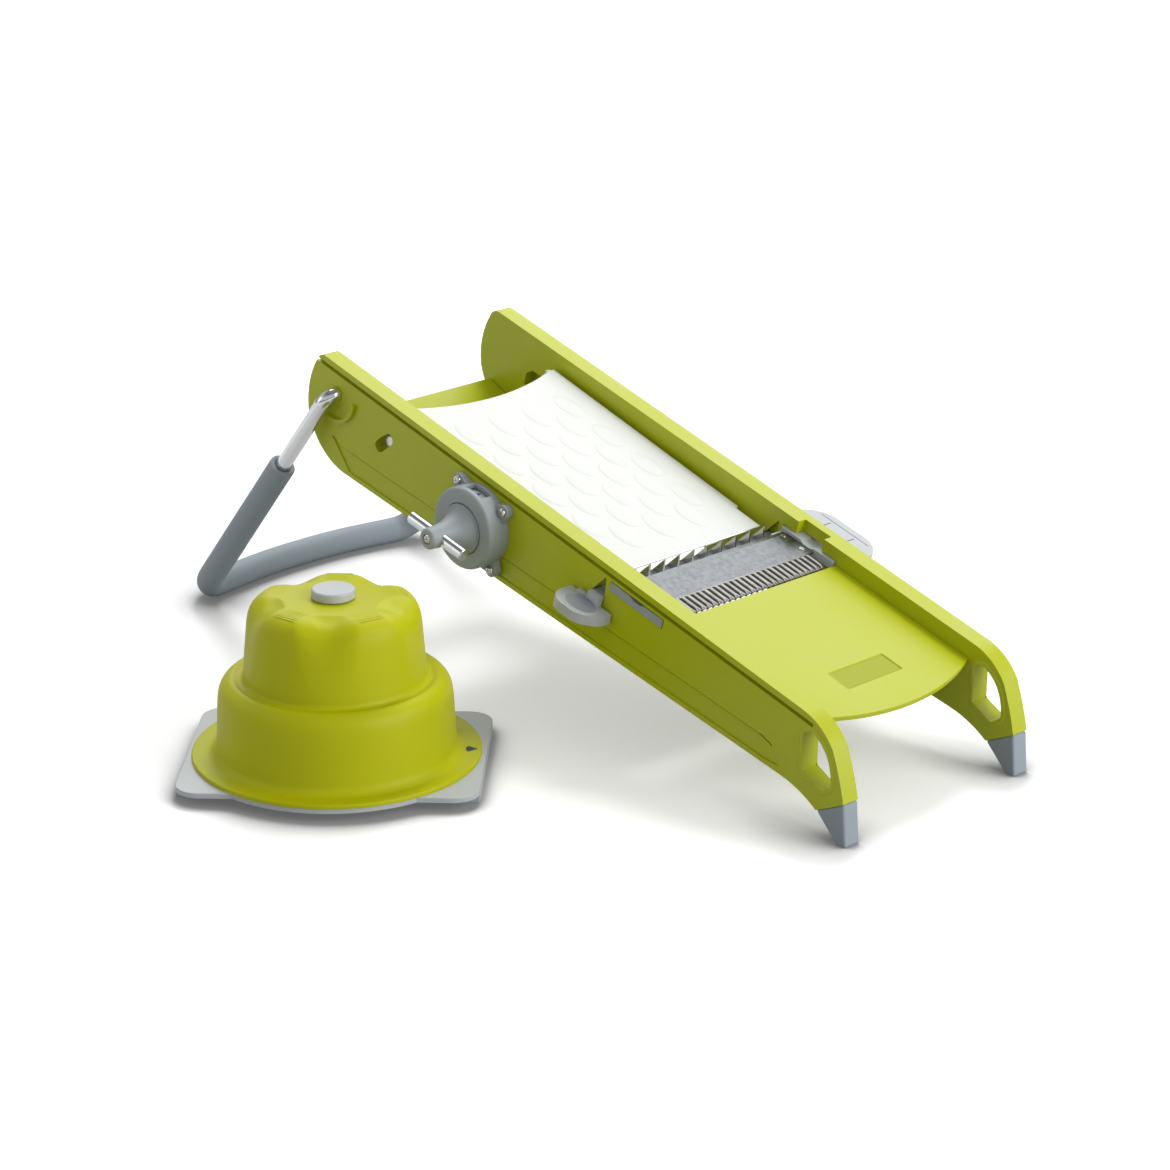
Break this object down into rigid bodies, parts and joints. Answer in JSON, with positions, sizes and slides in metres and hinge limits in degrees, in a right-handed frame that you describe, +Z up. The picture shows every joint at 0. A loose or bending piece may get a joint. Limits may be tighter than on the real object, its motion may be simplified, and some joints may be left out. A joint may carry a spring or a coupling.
{
  "type": "mandoline slicer",
  "caption": "Sloping mandoline slicer on a folding wire leg, with a dial-set slide plate, pull-out blade cassette, julienne comb and a separate domed food pusher.",
  "frame": {"origin": "on the table, under the middle of the box round the slicer and its pusher", "axes": "+X down the slope from the rear leg to the front feet, +Y across to the cassette's thumb tab, +Z up"},
  "size_m": [0.4774, 0.3402, 0.1572],
  "materials": {
    "green_plastic": "satin",
    "white_plastic": "satin",
    "grey_plastic": "satin",
    "grey_rubber": "matt",
    "clear_grey": "satin",
    "steel": "brushed",
    "bright_steel": "polished"
  },
  "bodies": {
    "frame": {"left_side_frame": "green_plastic", "right_side_frame": "green_plastic", "left_foot_tip": "grey_rubber", "right_foot_tip": "grey_rubber", "ramp": "green_plastic", "rear_tie_bar": "green_plastic", "dial_housing": "grey_plastic", "housing_screws": "steel"},
    "slide_plate": {"slide_plate": "white_plastic", "plate_edge_strip": "steel", "rear_guide_pins": "steel", "cam_follower_pin": "steel", "front_guide_pin": "steel"},
    "thickness_dial": {"cam_disc": "grey_plastic", "dial_hub": "grey_plastic", "dial_cross_rod": "bright_steel", "hub_screw": "steel"},
    "blade_cassette": {"cutting_blade": "steel", "blade_carrier_left": "grey_plastic", "blade_carrier_right": "grey_plastic", "blade_rivets": "steel"},
    "julienne_comb": {"comb_bar": "grey_plastic", "julienne_teeth": "steel", "comb_tab": "grey_plastic"},
    "rear_leg": {"leg_rod": "bright_steel", "leg_sleeve": "grey_rubber"},
    "pusher_base": {"pusher_base": "grey_plastic"},
    "pusher_dome": {"dome_drum": "green_plastic", "dome_crown": "green_plastic", "dome_retaining_ring": "grey_plastic"},
    "plunger": {"plunger_cap": "grey_plastic", "plunger_rod": "steel", "spike_disc": "clear_grey", "food_spikes": "steel"}
  },
  "joints": [
    {"name": "dial_turn", "type": "hinge", "parent": "frame", "child": "thickness_dial", "pos_m": [-0.00802, 0.0056, 0.09587], "axis": [0, -1, 0], "range_deg": [-131.5, 145]},
    {"name": "plate_slide", "type": "slide", "parent": "frame", "child": "slide_plate", "axis": [0.8192, 0, 0.5736], "range_m": [-0.00396, 0.00437]},
    {"name": "cassette_slide", "type": "slide", "parent": "frame", "child": "blade_cassette", "axis": [0, 1, 0], "range_m": [0, 0.12]},
    {"name": "comb_slide", "type": "slide", "parent": "frame", "child": "julienne_comb", "axis": [0, -1, 0], "range_m": [0, 0.115]},
    {"name": "leg_fold", "type": "hinge", "parent": "frame", "child": "rear_leg", "pos_m": [-0.11666, 0.0281, 0.13857], "axis": [0, -1, 0], "range_deg": [0, 85]},
    {"name": "pusher_away", "type": "slide", "parent": "frame", "child": "pusher_base", "axis": [0, -1, 0], "range_m": [0, 0.15]},
    {"name": "dome_turn", "type": "hinge", "parent": "pusher_base", "child": "pusher_dome", "pos_m": [0.00338, -0.0863, 0.0074], "axis": [0, 0, 1], "range_deg": [0, 90]},
    {"name": "plunger_slide", "type": "slide", "parent": "pusher_dome", "child": "plunger", "axis": [0, 0, 1], "range_m": [0, 0.042]}
  ],
  "couplings": [
    {"joint": "dial_turn", "follows": "plate_slide", "rad_per_m": 571.2}
  ]
}
